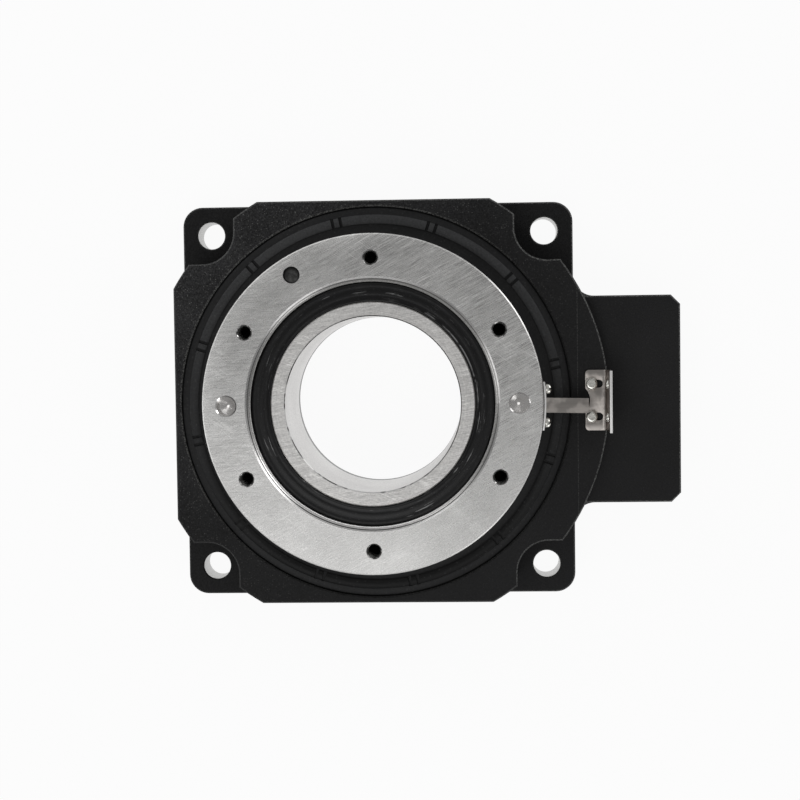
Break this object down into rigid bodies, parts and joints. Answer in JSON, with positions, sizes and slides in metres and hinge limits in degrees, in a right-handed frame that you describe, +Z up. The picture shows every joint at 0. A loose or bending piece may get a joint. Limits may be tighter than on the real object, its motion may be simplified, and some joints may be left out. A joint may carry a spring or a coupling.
{
  "type": "hollow rotary platform",
  "caption": "Geared hollow rotary platform: a steel table on a crossed-roller bearing round a fixed hollow hub, driven through a pinion in a side extension",
  "frame": {"origin": "on the table's axis of rotation, at the housing's base face", "axes": "+Z up along the axis of rotation, +X from the axis towards the motor extension, +Y to the left of it seen from above with +X to the right"},
  "size_m": [0.1634, 0.13, 0.048],
  "materials": {
    "housing_black": "bead-blasted and black anodised",
    "hub_steel": "turned, satin",
    "table_steel": "ground and brushed, light scratches",
    "seal_rubber": "moulded, glossy black",
    "gasket_rubber": "matte",
    "race_steel": "hardened and ground",
    "roller_steel": "polished",
    "spacer_plastic": "natural nylon",
    "gear_steel": "cut teeth, oiled",
    "screw_steel": "zinc plated",
    "plug_plastic": "dark grey, matte",
    "adapter_black": "black anodised",
    "bracket_steel": "stainless sheet, satin",
    "flag_steel": "stainless sheet, satin",
    "small_screw_steel": "stainless, dull"
  },
  "bodies": {
    "base": {"housing": "housing_black", "centre_hub": "hub_steel", "hub_gasket": "gasket_rubber", "hub_screws": "screw_steel", "bearing_lock_nut": "race_steel", "bearing_inner_ring": "race_steel", "outer_seal": "seal_rubber", "lower_bearing_outer": "race_steel", "upper_bearing_outer": "race_steel", "preload_washer": "screw_steel", "motor_adapter": "adapter_black", "adapter_screws": "screw_steel", "access_plug": "plug_plastic", "sensor_bracket": "bracket_steel", "bracket_washers": "small_screw_steel", "bracket_screws": "small_screw_steel"},
    "rotor": {"table": "table_steel", "ring_gear": "gear_steel", "gear_screws": "screw_steel", "bearing_outer_ring": "race_steel", "inner_seal": "seal_rubber", "filler_plug": "plug_plastic", "sensor_flag": "flag_steel", "flag_screws": "small_screw_steel"},
    "roller_train": {"bearing_rollers": "roller_steel", "bearing_spacers": "spacer_plastic"},
    "input": {"pinion_shaft": "gear_steel", "clamp_collar": "screw_steel", "clamp_screw": "screw_steel", "lower_bearing_inner": "race_steel", "upper_bearing_inner": "race_steel"},
    "ball_train": {"lower_bearing_balls": "roller_steel", "upper_bearing_balls": "roller_steel"}
  },
  "joints": [
    {"name": "table_spin", "type": "hinge", "parent": "base", "child": "rotor", "pos_m": [0, 0, 0], "axis": [0, 0, 1], "continuous": true},
    {"name": "roller_spin", "type": "hinge", "parent": "base", "child": "roller_train", "pos_m": [0, 0, 0], "axis": [0, 0, 1], "continuous": true},
    {"name": "pinion_spin", "type": "hinge", "parent": "base", "child": "input", "pos_m": [0.0675, 0, 0], "axis": [0, 0, 1], "continuous": true},
    {"name": "ball_spin", "type": "hinge", "parent": "base", "child": "ball_train", "pos_m": [0.0675, 0, 0], "axis": [0, 0, 1], "continuous": true}
  ],
  "couplings": [
    {"joint": "pinion_spin", "follows": "table_spin", "ratio": -5},
    {"joint": "roller_spin", "follows": "table_spin", "ratio": 0.52594},
    {"joint": "ball_spin", "follows": "table_spin", "ratio": -2.2333}
  ]
}
